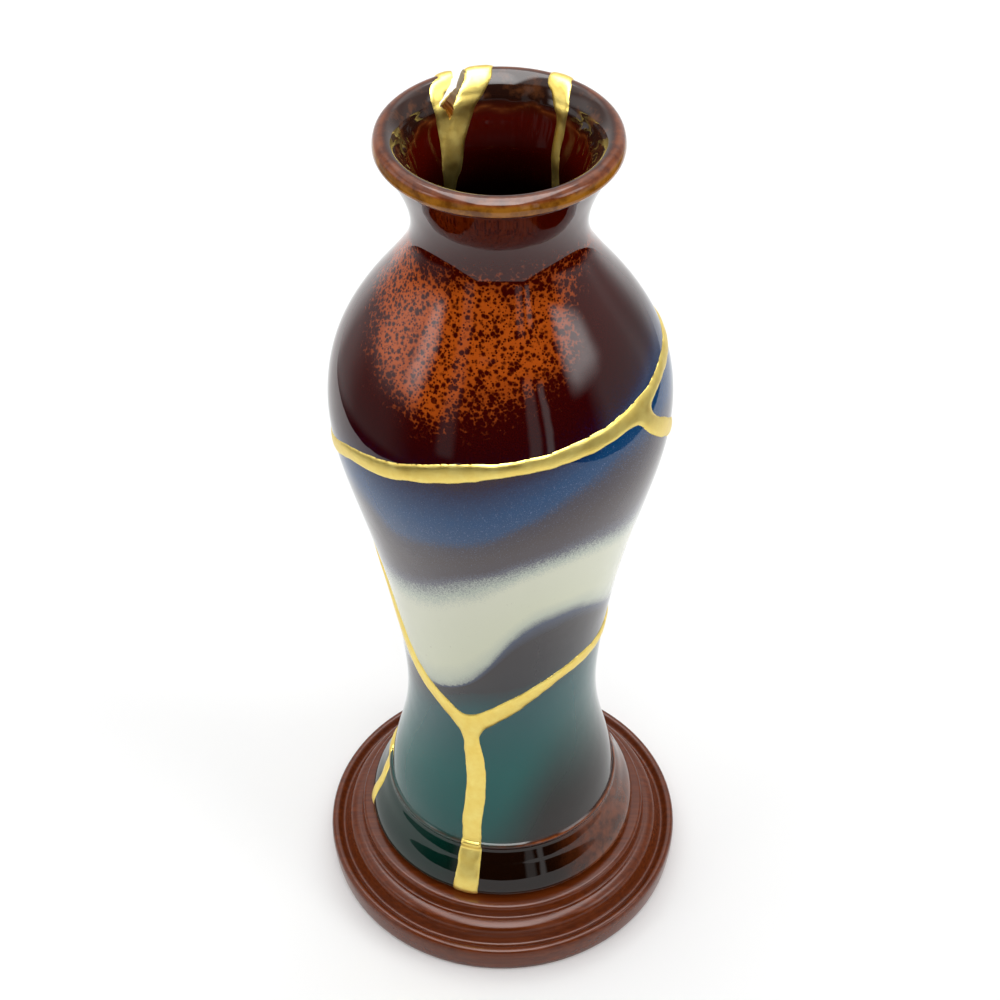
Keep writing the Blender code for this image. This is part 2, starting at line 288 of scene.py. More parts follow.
x, y, z = points_of(thrown_vase)
turn, radius = np.arctan2(x, -y), np.hypot(x, y)
lowest, highest = np.full_like(z, 17.0), np.full_like(z, 247.0)
heights = [lowest] + [round_the_vase(edge, turn) for edge in GLAZE_EDGES] + [highest]
run = sum(np.clip((z - low) / (high - low), 0, 1) for low, high in zip(heights[:-1], heights[1:]))
skin = np.interp(z, outside[:, 0], outside[:, 1])
inside = np.clip((skin - radius - 0.4) / 1.2, 0, 1)
set_attribute(thrown_vase, "glaze_run", run / 7)
set_attribute(thrown_vase, "inside", inside)
degrees_round = (np.degrees(turn) + 180) % 360 - 180
amber = ramp_up(z - round_the_vase(AMBER_FOOT, turn), -9.0, 9.0) * ramp_up(z, 230, 213)
set_attribute(thrown_vase, "amber", amber * (1 - inside))
right_side = ramp_up(degrees_round, -12, 30) * ramp_up(degrees_round, 150, 100)
thin = (0.25 + 0.45 * right_side) * np.exp(-(((z - 33.7) / 0.4) ** 2))
thin += 0.42 * ramp_up(degrees_round, 20, 50) * ramp_up(degrees_round, 130, 100) * (z < 33) * (radius > 32)
thin += (0.15 + 0.85 * right_side) * np.exp(-np.clip(z - 18.2, 0, None) / 0.7) * (radius > 34)
lip_side = (z > 242.5) & (radius > 24)
outer_band = 0.45 * ramp_up(z, 246.2, 245.4) * ramp_up(z, 242.6, 243.4)
thin += lip_side * (0.55 * ramp_up(radius, 24.9, 26.3) + outer_band)
thin += 0.62 * inside * np.exp(-(((z - pooled_edge(turn) + 1.3) / 0.6) ** 2)) * (z > 236)
set_attribute(thrown_vase, "thin", np.clip(thin, 0, 1))
smoke = ramp_up(degrees_round - 0.75 * (z - 36), -14, 22) * ramp_up(degrees_round, 140, 95)
smoke = smoke * ramp_up(z, 84, 40)
from_left_rear = np.abs((degrees_round + 150 + 180) % 360 - 180)
smoke += 0.8 * ramp_up(from_left_rear, 60, 25) * ramp_up(z, 74, 42)
foot = z < 33.6
smoke[foot] = (ramp_up(degrees_round, -34, -8) * ramp_up(degrees_round, 160, 120))[foot]
set_attribute(thrown_vase, "smoke", smoke)


def node(tree, kind, inputs=None, stops=None, **settings):
    """Adds a node, gives it its settings and its ramp's stops, and fills its inputs: a socket is linked,
    anything else is the input's value."""
    made = tree.nodes.new(kind)
    for name, value in settings.items():
        setattr(made, name, value)
    if stops:
        colours = made.color_ramp.elements
        while len(colours) < len(stops):
            colours.new(0.5)
        for element, (place, colour) in zip(colours, stops):
            element.position = place
            element.color = linear(colour) if isinstance(colour, str) else (colour, colour, colour, 1)
    for name, value in (inputs or {}).items():
        if isinstance(value, bpy.types.NodeSocket):
            tree.links.new(value, made.inputs[name])
        else:
            made.inputs[name].default_value = value
    return made


# Glossy feldspar glazes over iron: glass a few tenths of a millimetre thick, IOR about 1.5, so smooth that
# it mirrors the room. It breaks to ochre where it runs thin, and its colours float into each other in grains.
glaze = bpy.data.materials["layered_stoneware_glaze"]
glaze.use_nodes = True
tree = glaze.node_tree
shader = tree.nodes["Principled BSDF"]
place = node(tree, "ShaderNodeTexCoord").outputs["Object"]
run_at, inside_at, amber_at, thin_at, smoke_at = (
    node(tree, "ShaderNodeAttribute", attribute_name=name).outputs["Fac"]
    for name in ("glaze_run", "inside", "amber", "thin", "smoke")
)
# Grains of glaze about 0.4 mm across and slow drifts about 12 mm long fray the edges between the colours.
grain = node(tree, "ShaderNodeTexNoise", {"Vector": place, "Scale": 1 / (0.4 * MM), "Detail": 2.0,
                                          "Roughness": 0.7})
drift = node(tree, "ShaderNodeTexNoise", {"Vector": place, "Scale": 1 / (12 * MM), "Detail": 3.0,
                                          "Roughness": 0.5})
# The upper half, iron over blue over cream, is the grainy one; the lower edges only blur.
coarse = node(tree, "ShaderNodeMapRange", {"Value": run_at, "From Min": 0.48, "From Max": 0.56,
                                           "To Min": 0.014,
                                           "To Max": 0.062})
frayed = node(tree, "ShaderNodeMath", {0: grain.outputs["Fac"], 1: 0.5}, operation="SUBTRACT")
frayed = node(tree, "ShaderNodeMath", {0: frayed.outputs[0], 1: coarse.outputs[0], 2: run_at},
              operation="MULTIPLY_ADD")
frayed = node(tree, "ShaderNodeMath", {0: drift.outputs["Fac"], 1: 0.014, 2: frayed.outputs[0]},
              operation="MULTIPLY_ADD")
frayed = node(tree, "ShaderNodeMath", {0: frayed.outputs[0], 1: 0.007}, operation="SUBTRACT")
bands = node(tree, "ShaderNodeValToRGB", {"Fac": frayed.outputs[0]}, stops=(
    (0.000, "#04150f"), (0.138, "#052a22"), (0.146, "#034744"), (0.200, "#045350"), (0.262, "#124b4e"),
    (0.290, "#2a2a2e"), (0.390, "#302b2d"), (0.418, "#454d60"), (0.438, "#b9bfae"), (0.460, "#ced1b9"),
    (0.538, "#d2d4bf"), (0.556, "#aeb6aa"), (0.578, "#5b5c68"), (0.600, "#473f44"), (0.650, "#453b3c"),
    (0.696, "#3c3640"), (0.722, "#1c4169"), (0.770, "#0c3d68"), (0.815, "#142c52"), (0.842, "#170f33"),
    (0.864, "#2a0407"), (0.900, "#3a0501"), (1.000, "#330500"),
))
# Iron smoke dulls the teal to brown near the foot, and the green black foot to brown black.
smoky = node(tree, "ShaderNodeValToRGB", {"Fac": run_at}, stops=(
    (0.000, "#100501"), (0.142, "#160803"), (0.150, "#1c1613"), (0.220, "#1f1a17"), (0.280, "#16302f")))
smoked = node(tree, "ShaderNodeMix", {"Factor": smoke_at, 6: bands.outputs["Color"],
                                      7: smoky.outputs["Color"]},
              data_type="RGBA")
# Fine pale crystals, about 0.5 mm apart, float in the blue and the purple.
crystals = node(tree, "ShaderNodeTexNoise", {"Vector": place, "Scale": 1 / (0.28 * MM), "Detail": 1.0})
crystals = node(tree, "ShaderNodeMapRange", {"Value": crystals.outputs["Fac"], "From Min": 0.60,
                                             "From Max": 0.78})
in_blue = node(tree, "ShaderNodeValToRGB", {"Fac": run_at}, stops=((0.57, 0.0), (0.62, 0.25), (0.74, 0.6),
                                                                   (0.86, 0.0)))
crystals = node(tree, "ShaderNodeMath", {0: crystals.outputs[0], 1: in_blue.outputs["Color"]},
                operation="MULTIPLY")
floating = node(tree, "ShaderNodeMix", {"Factor": crystals.outputs[0], 6: smoked.outputs[2],
                                        7: linear("#7f8db0")},
                data_type="RGBA")
# Amber bloom on the shoulder, open between dark iron dots, big ones 1.4 mm apart and fine ones 0.7 mm apart.
# They crowd together towards its edge until only orange dust is left. Dark stars lie about 3.6 mm apart.
patchy = node(tree, "ShaderNodeMath", {0: drift.outputs["Fac"], 1: 1.5, 2: 0.25}, operation="MULTIPLY_ADD")
patchy = node(tree, "ShaderNodeMath", {0: patchy.outputs[0], 1: amber_at}, operation="MULTIPLY",
              use_clamp=True)
shaken = node(tree, "ShaderNodeVectorMath", {0: grain.outputs["Color"], 1: (0.35 * MM,) * 3},
              operation="MULTIPLY")
shaken = node(tree, "ShaderNodeVectorMath", {0: place, 1: shaken.outputs[0]}, operation="ADD")
clear = None
for spacing, widest, least in ((1.4, 0.66, 0.31), (0.7, 0.80, 0.27)):
    dots = node(tree, "ShaderNodeTexVoronoi", {"Vector": shaken.outputs[0], "Scale": 1 / (spacing * MM)})
    own = node(tree, "ShaderNodeSeparateXYZ", {0: dots.outputs["Color"]})
    size = node(tree, "ShaderNodeMapRange", {"Value": patchy.outputs[0], "From Min": 0.05, "From Max": 0.85,
                                             "To Min": widest, "To Max": least})
    size = node(tree, "ShaderNodeMath", {0: own.outputs[0], 1: 0.20, 2: size.outputs[0]},
                operation="MULTIPLY_ADD")
    gap = node(tree, "ShaderNodeMath", {0: dots.outputs["Distance"], 1: size.outputs[0]},
               operation="SUBTRACT")
    gap = node(tree, "ShaderNodeMapRange", {"Value": gap.outputs[0], "From Min": -0.16, "From Max": 0.10})
    clear = gap if clear is None else node(tree, "ShaderNodeMath", {0: clear.outputs[0], 1: gap.outputs[0]},
                                           operation="MULTIPLY")
stars = node(tree, "ShaderNodeTexVoronoi", {"Vector": shaken.outputs[0], "Scale": 1 / (3.6 * MM)})
own = node(tree, "ShaderNodeSeparateXYZ", {0: stars.outputs["Color"]})
size = node(tree, "ShaderNodeMath", {0: own.outputs[0], 1: 0.22, 2: 0.02}, operation="MULTIPLY_ADD")
gap = node(tree, "ShaderNodeMath", {0: stars.outputs["Distance"], 1: size.outputs[0]}, operation="SUBTRACT")
gap = node(tree, "ShaderNodeMapRange", {"Value": gap.outputs[0], "From Min": -0.02, "From Max": 0.03,
                                        "To Min": 0.12})
clear = node(tree, "ShaderNodeMath", {0: clear.outputs[0], 1: gap.outputs[0]}, operation="MULTIPLY")
dust = node(tree, "ShaderNodeTexNoise", {"Vector": place, "Scale": 1 / (0.32 * MM), "Detail": 1.0})
dust = node(tree, "ShaderNodeMath", {0: dust.outputs["Fac"], 1: 0.9, 2: patchy.outputs[0]},
            operation="MULTIPLY_ADD")
dust = node(tree, "ShaderNodeMapRange", {"Value": dust.outputs[0], "From Min": 0.48, "From Max": 0.80})
clear = node(tree, "ShaderNodeMath", {0: clear.outputs[0], 1: dust.outputs[0]}, operation="MULTIPLY")
orange = node(tree, "ShaderNodeValToRGB", {"Fac": patchy.outputs[0]}, stops=(
    (0.0, "#5e2712"), (0.4, "#7b3413"), (0.75, "#974010"), (1.0, "#ad4c12")))
bloom = node(tree, "ShaderNodeMix", {"Factor": clear.outputs[0], 6: floating.outputs[2],
                                     7: orange.outputs["Color"]},
             data_type="RGBA")
# Inside, the iron glaze goes from purple brown on the flare to oxblood down the throat; its darkening to near
# black further down is painted shade, the shade that falls inside the narrow throat.
depth = node(tree, "ShaderNodeSeparateXYZ", {"Vector": place})
depth = node(tree, "ShaderNodeMapRange", {"Value": depth.outputs["Z"], "From Min": 0.20, "From Max": 0.247})
# The near-black stops low in the throat are painted shade; the oxblood and purple brown above them are the
# glaze's own colour.
throat_glaze_and_painted_shade = node(tree, "ShaderNodeValToRGB", {"Fac": depth.outputs[0]}, stops=(
    (0.00, "#040100"), (0.45, "#0c0201"), (0.62, "#2a0301"), (0.80, "#4e0902"), (0.85, "#4a1204"),
    (0.89, "#26120c"),
    (1.00, "#38211a"),
))
# Drifts about 3 mm across mottle the lip and the flare, orange brown where the glaze lies thin.
mottle = node(tree, "ShaderNodeTexNoise", {"Vector": place, "Scale": 1 / (3.2 * MM), "Detail": 4.0,
                                           "Roughness": 0.6})
pale = node(tree, "ShaderNodeValToRGB", {"Fac": depth.outputs[0]},
            stops=((0.86, 0.0), (0.93, 0.75), (1.0, 0.6)))
patches = node(tree, "ShaderNodeMapRange", {"Value": mottle.outputs["Fac"], "From Min": 0.52,
                                            "From Max": 0.70})
patches = node(tree, "ShaderNodeMath", {0: patches.outputs[0], 1: pale.outputs["Color"]},
               operation="MULTIPLY")
flare = node(tree, "ShaderNodeMix", {"Factor": patches.outputs[0], 6: throat_glaze_and_painted_shade.outputs["Color"],
                                     7: linear("#6e4024")},
             data_type="RGBA")
lined = node(tree, "ShaderNodeMix", {"Factor": inside_at, 6: bloom.outputs[2], 7: flare.outputs[2]},
             data_type="RGBA")
ochre = node(tree, "ShaderNodeValToRGB", {"Fac": thin_at}, stops=((0.3, "#6b3216"), (0.7, "#8c4a22"),
                                                                  (1.0, "#96601c")))
speckled = node(tree, "ShaderNodeMapRange", {"Value": mottle.outputs["Fac"], "From Min": 0.36,
                                             "From Max": 0.60,
                                             "To Min": 0.35, "To Max": 1.0})
cover = node(tree, "ShaderNodeMapRange", {"Value": thin_at, "From Min": 0.0, "From Max": 0.6})
cover = node(tree, "ShaderNodeMath", {0: cover.outputs[0], 1: speckled.outputs[0]}, operation="MULTIPLY")
broken = node(tree, "ShaderNodeMix", {"Factor": cover.outputs[0], 6: lined.outputs[2],
                                      7: ochre.outputs["Color"]},
              data_type="RGBA")
tree.links.new(broken.outputs[2], shader.inputs["Base Color"])
shader.inputs["Roughness"].default_value = 0.035
shader.inputs["IOR"].default_value = 1.5
shader.inputs["Specular IOR Level"].default_value = 0.4
# The glaze lies in soft waves about 9 mm long and a few hundredths of a millimetre high.
waves = node(tree, "ShaderNodeTexNoise", {"Vector": place, "Scale": 1 / (9 * MM), "Detail": 1.5})
ripple = node(tree, "ShaderNodeBump", {"Height": waves.outputs["Fac"], "Distance": 0.08 * MM,
                                       "Strength": 1.0})
tree.links.new(ripple.outputs["Normal"], shader.inputs["Normal"])

# The open break in the lip: fired clay, matt and tan, stained orange brown where glaze has run into it.
clay = bpy.data.materials["broken_stoneware"]
clay.use_nodes = True
tree = clay.node_tree
shader = tree.nodes["Principled BSDF"]
place = node(tree, "ShaderNodeTexCoord").outputs["Object"]
depth = node(tree, "ShaderNodeSeparateXYZ", {"Vector": place})
depth = node(tree, "ShaderNodeMapRange", {"Value": depth.outputs["Z"], "From Min": 0.239, "From Max": 0.246})
grit = node(tree, "ShaderNodeTexNoise", {"Vector": place, "Scale": 1 / (0.5 * MM), "Detail": 3.0})
stain = node(tree, "ShaderNodeMath", {0: grit.outputs["Fac"], 1: 0.4, 2: depth.outputs[0]},
             operation="MULTIPLY_ADD")
stain = node(tree, "ShaderNodeValToRGB", {"Fac": stain.outputs[0]}, stops=(
    (0.15, "#9a6a08"), (0.4, "#a55f0c"), (0.65, "#a98a5a"), (0.9, "#a3916f")))
tree.links.new(stain.outputs["Color"], shader.inputs["Base Color"])
shader.inputs["Roughness"].default_value = 0.6
rough = node(tree, "ShaderNodeBump", {"Height": grit.outputs["Fac"], "Distance": 0.08 * MM, "Strength": 1.0})
tree.links.new(rough.outputs["Normal"], shader.inputs["Normal"])
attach(thrown_vase, "root")
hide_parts("vase")

# The gold seams: the breaks were glued with lacquer, filled a little proud, and dusted with
# gold powder while tacky. One raised web runs round the shoulder, down the waist and foot,
# and over the lip into the throat.
CREST = 247.0  # a height above this means that far past the lip's crest, down the inside
SEAMS = (  # each is a route of (degrees, height, width in mm)
    ((-118, 160, 4.4), (-98, 161, 4.2), (-77, 165, 4.4), (-56, 172.8, 4.2), (-41.6, 175.6, 4.7),
     (-27.5, 178.7, 4.9), (-15.5, 181.1, 4.95), (-3.5, 182.6, 4.1), (8, 183.55, 3.8), (17, 184.1, 4.0),
     (25, 184.9, 4.4), (34, 185.4, 4.7), (45, 186.05, 4.7), (53, 186.4, 5.0), (60, 187.3, 4.1),
     (70, 188.3, 3.9), (80, 188.4, 3.8), (95, 187.8, 4.2), (110, 186, 4.6), (135, 181, 4.9),
     (160, 175, 4.5), (180, 171, 4.8), (205, 166, 4.2), (225, 162, 4.6), (242, 160, 4.4)),
    ((54, 185.8, 4.6), (59.5, 179.5, 4.8), (67.8, 174.1, 4.8), (82, 166, 4.4), (98, 160, 4.6),
     (116, 158, 4.2), (134, 163, 4.6), (147, 171, 4.4), (155, 176.2, 4.6)),
    ((130, 272, 2.6), (131.3, 267, 2.5), (135, 261.5, 2.6), (136.2, 257, 2.8), (137.6, 252.7, 3.5),
     (140.6, 250.2, 4.7), (143.4, 248.4, 4.8), (146.6, 247.1, 5.6), (148, 245, 5.6), (147, 242.6, 5.0),
     (146, 232, 4.6), (143, 220, 4.2), (140, 206, 4.5), (137, 192, 4.4), (135, 182, 4.6)),
    ((-139.5, 265.0, 3.6), (-141.6, 260.2, 3.9), (-142.7, 254.8, 4.0), (-142.0, 251.3, 4.0),
     (-142.2, 249.3, 4.0), (-146.0, 248.3, 4.0), (-152.0, 247.1, 3.9), (-152.5, 246.0, 4.6),
     (-152, 242.6, 4.6), (-152, 236, 4.2), (-155, 226, 4.4), (-155, 214, 4.8), (-152, 200, 4.4),
     (-148, 184, 4.6), (-146, 165, 4.6)),
    ((-133, 292, 3.2), (-134.5, 285, 3.3), (-136, 278, 3.4), (-138.3, 270.7, 3.8), (-141.0, 266.4, 4.7),
     (-145.5, 263.3, 4.2), (-149.5, 260.3, 4.0), (-152.2, 258.0, 4.3), (-155.5, 255.6, 4.8),
     (-158.8, 252.7, 5.1), (-163.2, 250.6, 5.3), (-166.6, 249.1, 5.6), (-169.6, 247.1, 6.2),
     (-170.6, 246.4, 6.2), (-171, 242.8, 5.4), (-166, 235, 4.6), (-157, 226.5, 4.4)),
    ((-20, 76, 5.0), (-25, 77.4, 4.8), (-31, 80, 4.9), (-40, 83.8, 5.0), (-47.6, 86.9, 5.1),
     (-54, 90, 5.0), (-64, 98, 5.0), (-72, 108, 5.0), (-77, 117, 4.8), (-85, 128, 4.6), (-97, 141, 4.8),
     (-116, 159.4, 4.6)),
    ((-20, 76.4, 5.2), (-7, 81.2, 5.6), (6.6, 86.5, 5.5), (20, 91.4, 4.7), (34, 95.2, 4.3),
     (50, 96.6, 4.7), (64, 96.4, 4.3), (90, 98, 4.6), (118, 106, 4.8), (142, 118, 4.4), (162, 134, 4.6),
     (174, 152, 4.6), (180, 170, 4.8)),
    ((-20.5, 77.5, 4.6), (-18.8, 71, 4.4), (-17, 64, 5.3), (-15.1, 54, 5.4), (-15.9, 45.5, 5.7),
     (-16, 36, 5.5), (-15.8, 30, 6.3), (-16.3, 21, 7.1), (-16.3, 14, 7.1)),
    ((-84, 14, 4.2), (-84.8, 22, 4.2), (-87, 28, 4.0), (-94, 32.0, 4.0), (-113, 34.5, 4.2),
     (-132, 41, 4.2), (-145, 55, 4.4), (-158, 74, 4.2), (-178, 91, 4.4), (-196, 107, 4.4),
     (-209, 120.5, 4.4)),
)
GOLD_STEP = 0.45  # mm between points along the wall
GOLD_COLUMNS = 576

# The wall line under the gold, from the foot's edge over the lip into the throat, by its length.
wall_line = joined(outside[outside[:, 0] > 18.0], rim, smooth_profile(THROAT, 0.5)[:52])
wall_run = np.concatenate([[0.0], np.cumsum(np.hypot(*np.diff(wall_line, axis=0).T))])
along = np.linspace(0.0, wall_run[-1], int(wall_run[-1] / GOLD_STEP) + 1)
wall_line = smooth_line(np.column_stack([wall_run, wall_line]), along)
crest_row = int(np.argmax(wall_line[:, 0]))
folded = wall_line[:, 0].copy()
folded[crest_row:] = 2 * CREST - folded[crest_row:]
slope = np.gradient(wall_line, axis=0)
slope /= np.hypot(*slope.T)[:, None]
column_turn = np.linspace(-np.pi, np.pi, GOLD_COLUMNS, endpoint=False)


def ripples(seed, count, shortest, longest):
    """Sum of sine waves over turn and length, each with its own direction, phase and a wavelength in mm
    between the shortest and the longest. Whole waves fit round the vase. The sum's spread is about 1."""
    rng = np.random.default_rng(seed)
    size = np.exp(rng.uniform(np.log(shortest), np.log(longest), count))
    heading, phase = rng.uniform(0, np.pi, count), rng.uniform(0, 2 * np.pi, count)
    round_waves = np.round(2 * np.pi * 32 * np.cos(heading) / size)
    up_waves = 2 * np.pi * np.sin(heading) / size
    total = np.zeros((len(along), GOLD_COLUMNS))
    for a, b, c in zip(round_waves, up_waves, phase):
        total += np.sin(a * column_turn[None, :] + b * along[:, None] + c)
    return total * np.sqrt(2 / count)


def distance_to(route):
    """Distance in mm on the wall from the side of one seam, negative inside it: the least, over discs set
    close together along the route, of the distance to the disc's centre less its radius."""
    stations = np.array(route, dtype=float)
    length = np.hypot(np.diff(stations[:, 0]) * 0.5, np.diff(stations[:, 1]))
    reach = np.concatenate([[0.0], np.cumsum(length)])
    marks = np.linspace(0.0, reach[-1], int(reach[-1] / 0.3) + 2)
    degrees, height, width = smooth_line(np.column_stack([reach, stations]), marks).T
    centre = np.radians(degrees)
    at_row = np.interp(height, folded, np.arange(len(folded)), left=-8.0)
    lengths = at_row * GOLD_STEP
    field = np.full((len(along), GOLD_COLUMNS), 9.0)
    rows = np.round(at_row).astype(int)[:, None, None] + np.arange(-13, 14)[None, :, None]
    spread = np.arange(-34, 35)[None, None, :]
    cols = np.round((centre + np.pi) / (2 * np.pi) * GOLD_COLUMNS).astype(int)[:, None, None] + spread
    rows, cols = np.broadcast_arrays(rows, cols)
    inside_grid = (rows >= 0) & (rows < len(along))
    safe = np.clip(rows, 0, len(along) - 1)
    across = (cols * 2 * np.pi / GOLD_COLUMNS - np.pi - centre[:, None, None]) * wall_line[safe, 1]
    up = along[safe] - lengths[:, None, None]
    value = np.hypot(across, up) - width[:, None, None] / 2
    np.minimum.at(field, (safe[inside_grid], cols[inside_grid] % GOLD_COLUMNS), value[inside_grid])
    return field


def raised_web(name):
    """Closed sheet over every grid cell near a seam. The top is the wall lifted by 0.38 (1 - exp(-d / 0.45))
    + 0.1 (1 - exp(-d / 1.6)) mm, d mm in from the gold's edge, and it dips under the glaze outside it. The
    bottom lies 0.3 mm under the glaze, and walls join the two."""
    blend = 1.1
    field = -blend * np.log(sum(np.exp(-np.clip(distance_to(route), -6, 9) / blend) for route in SEAMS))
    field += 0.085 * ripples(3, 40, 4.0, 22.0) + 0.02 * ripples(5, 30, 1.6, 4.0)
    deep = np.clip(-field, 0, None)
    lift = 0.38 * (1 - np.exp(-deep / 0.45)) + 0.10 * (1 - np.exp(-deep / 1.6))
    brushed = 0.018 * ripples(7, 40, 4.0, 16.0) + 0.004 * ripples(9, 30, 1.2, 3.0)
    lift += np.clip(deep / 0.8, 0, 1) * brushed
    lift = np.where(field < 0, lift, -0.9 * field)
    point = field < 0.34
    cell = point[:-1] & point[1:]
    cell = cell & np.roll(cell, -1, axis=1)
    height = wall_line[:, :1] + (-slope[:, 1:]) * lift
    radius = wall_line[:, 1:] + slope[:, :1] * lift
    low_height = wall_line[:, :1] + slope[:, 1:] * 0.3 + 0 * lift
    low_radius = wall_line[:, 1:] - slope[:, :1] * 0.3 + 0 * lift
    top = on_wall(column_turn[None, :], height, radius)
    bottom = on_wall(column_turn[None, :], low_height, low_radius)
    number = np.arange(top.shape[0] * GOLD_COLUMNS).reshape(top.shape[:2])
    a, b = number[:-1], np.roll(number, -1, axis=1)[:-1]
    d, c = number[1:], np.roll(number, -1, axis=1)[1:]
    under = number.size
    faces = [np.stack([a, b, c, d], axis=-1)[cell], np.stack([a, d, c, b], axis=-1)[cell] + under]
    empty_row = np.zeros((1, GOLD_COLUMNS), dtype=bool)
    below, above = np.vstack([empty_row, cell[:-1]]), np.vstack([cell[1:], empty_row])
    left, right = np.roll(cell, 1, axis=1), np.roll(cell, -1, axis=1)
    for open_side, start, end in ((~below, a, b), (~right, b, c), (~above, c, d), (~left, d, a)):
        side = cell & open_side
        s, e = start[side], end[side]
        faces.append(np.stack([e, s, s + under, e + under], axis=-1))
    faces = np.concatenate(faces)
    used, faces = np.unique(faces, return_inverse=True)
    points = np.concatenate([top.reshape(-1, 3), bottom.reshape(-1, 3)])[used]
    depth = np.concatenate([deep.ravel(), deep.ravel()])[used]
    web = new_piece(name, points, faces.reshape(-1, 4).tolist())
    set_attribute(web, "from_edge", depth)
    return web


gold_mending = raised_web("gold_mending")
sliver.data.polygons.foreach_set("material_index", np.zeros(len(sliver.data.polygons), dtype=np.int32))
cut_away(gold_mending, sliver)
bpy.data.objects.remove(sliver, do_unlink=True)
gold_mending.data.set_sharp_from_angle(angle=math.radians(60))

# Gold powder burnished on lacquer: a pale yellow metal, satin, a little deeper in tone in clouds 3.5 mm wide.
gold = bpy.data.materials.new("burnished_gold_powder")
gold.use_nodes = True
tree = gold.node_tree
shader = tree.nodes["Principled BSDF"]
place = node(tree, "ShaderNodeTexCoord").outputs["Object"]
cloud = node(tree, "ShaderNodeTexNoise", {"Vector": place, "Scale": 1 / (3.5 * MM), "Detail": 4.0,
                                          "Roughness": 0.6})
tone = node(tree, "ShaderNodeValToRGB", {"Fac": cloud.outputs["Fac"]},
            stops=((0.3, "#ecce68"), (0.7, "#f6e184")))
tree.links.new(tone.outputs["Color"], shader.inputs["Base Color"])
shader.inputs["Metallic"].default_value = 1.0
matt = node(tree, "ShaderNodeMapRange", {"Value": cloud.outputs["Fac"], "From Min": 0.3, "From Max": 0.7,
                                         "To Min": 0.34, "To Max": 0.46})
tree.links.new(matt.outputs[0], shader.inputs["Roughness"])
powder = node(tree, "ShaderNodeTexNoise", {"Vector": place, "Scale": 1 / (0.35 * MM), "Detail": 2.0})
bumpy = node(tree, "ShaderNodeBump", {"Height": powder.outputs["Fac"], "Distance": 0.03 * MM,
                                      "Strength": 1.0})
tree.links.new(bumpy.outputs["Normal"], shader.inputs["Normal"])
gold_mending.data.materials.append(gold)
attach(gold_mending, "root")
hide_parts("gold_seams")

# The stand: a disc of reddish hardwood turned in one piece, with a rounded edge, a cove, a
# small bead and a flat plateau that the foot sits on. Stained, and rubbed with oil to a
# soft sheen. The vase is only set down on it.
STAND = (
    (0.0, 0.0), (0.0, 30.0), (0.0, 48.9), (0.12, 49.5), (0.5, 50.0), (1.3, 50.3), (4.0, 50.7),
    (6.4, 50.88), (7.6, 50.88), (8.4, 50.75), (8.95, 50.45), (9.25, 50.05), (9.3, 49.6), (9.15, 49.0),
    (8.6, 48.35), (8.05, 47.8), (7.8, 47.3), (7.9, 46.9), (8.3, 46.6), (8.9, 46.25), (9.6, 45.9),
    (10.3, 45.6), (11.1, 45.35), (11.8, 45.0), (12.4, 44.5), (12.85, 43.8), (13.1, 43.1), (13.2, 42.5),
    (13.15, 41.95), (13.25, 41.55), (13.6, 41.35), (14.2, 41.28), (15.4, 41.25), (16.3, 41.2),
    (16.8, 41.0), (17.1, 40.65), (17.2, 40.1), (17.2, 38.0), (17.2, 20.0), (17.2, 0.0),
)
stand_profile = joined(
    np.array(STAND[:2]), np.array(STAND[1:3]), smooth_profile(STAND[2:-3], 0.32), np.array(STAND[-4:])[1:]
)
turned_stand = turned("turned_stand", stand_profile, 360)
turned_stand.data.set_sharp_from_angle(angle=math.radians(50))

wood = bpy.data.materials.new("oiled_rosewood")
wood.use_nodes = True
tree = wood.node_tree
shader = tree.nodes["Principled BSDF"]
place = node(tree, "ShaderNodeTexCoord").outputs["Object"]
# Grain runs along X: streaks about 1.2 mm wide and 40 mm long.
stretched = node(tree, "ShaderNodeMapping", {"Vector": place, "Scale": (0.03, 1.0, 1.0)})
streaks = node(tree, "ShaderNodeTexNoise", {"Vector": stretched.outputs[0], "Scale": 1 / (1.2 * MM),
                                            "Detail": 5.0,
                                            "Roughness": 0.6})
tone = node(tree, "ShaderNodeValToRGB", {"Fac": streaks.outputs["Fac"]}, stops=(
    (0.25, "#4a1c04"), (0.5, "#5c2607"), (0.75, "#6e300b")))
tree.links.new(tone.outputs["Color"], shader.inputs["Base Color"])
shader.inputs["Roughness"].default_value = 0.22
shader.inputs["Specular IOR Level"].default_value = 0.3
turned_stand.data.materials.append(wood)
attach(turned_stand, "root")
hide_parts("wooden_stand")

# The studio: a seamless pale floor, soft daylight from all sides, and a camera looking down
# at the front from about 43 degrees.
def flat_sheet(name, left, near, right, far, height):
    """Level rectangle between two corners, in metres."""
    sheet = bpy.data.objects.new(name, bpy.data.meshes.new(name))
    corners = [(left, near, height), (right, near, height), (right, far, height), (left, far, height)]
    sheet.data.from_pydata(corners, [], [(0, 1, 2, 3)])
    bpy.context.scene.collection.objects.link(sheet)
    sheet.data.materials.append(paper)
    return sheet


paper = bpy.data.materials.new("matt_white_paper")
paper.use_nodes = True
shader = paper.node_tree.nodes["Principled BSDF"]
shader.inputs["Base Color"].default_value = linear("#f4f4f4")
shader.inputs["Roughness"].default_value = 0.9
shader.inputs["Specular IOR Level"].default_value = 0.1
# The glaze mirrors a white sheet that ends a short way in front of the vase, and not the wide floor.
floor = flat_sheet("floor", -6, -6, 6, 6, 0.0)
floor.visible_glossy = False
sheet = flat_sheet("white_sheet", -0.33, -0.72, 0.37, 2.5, 0.00005)
sheet.visible_camera = sheet.visible_diffuse = sheet.visible_shadow = False

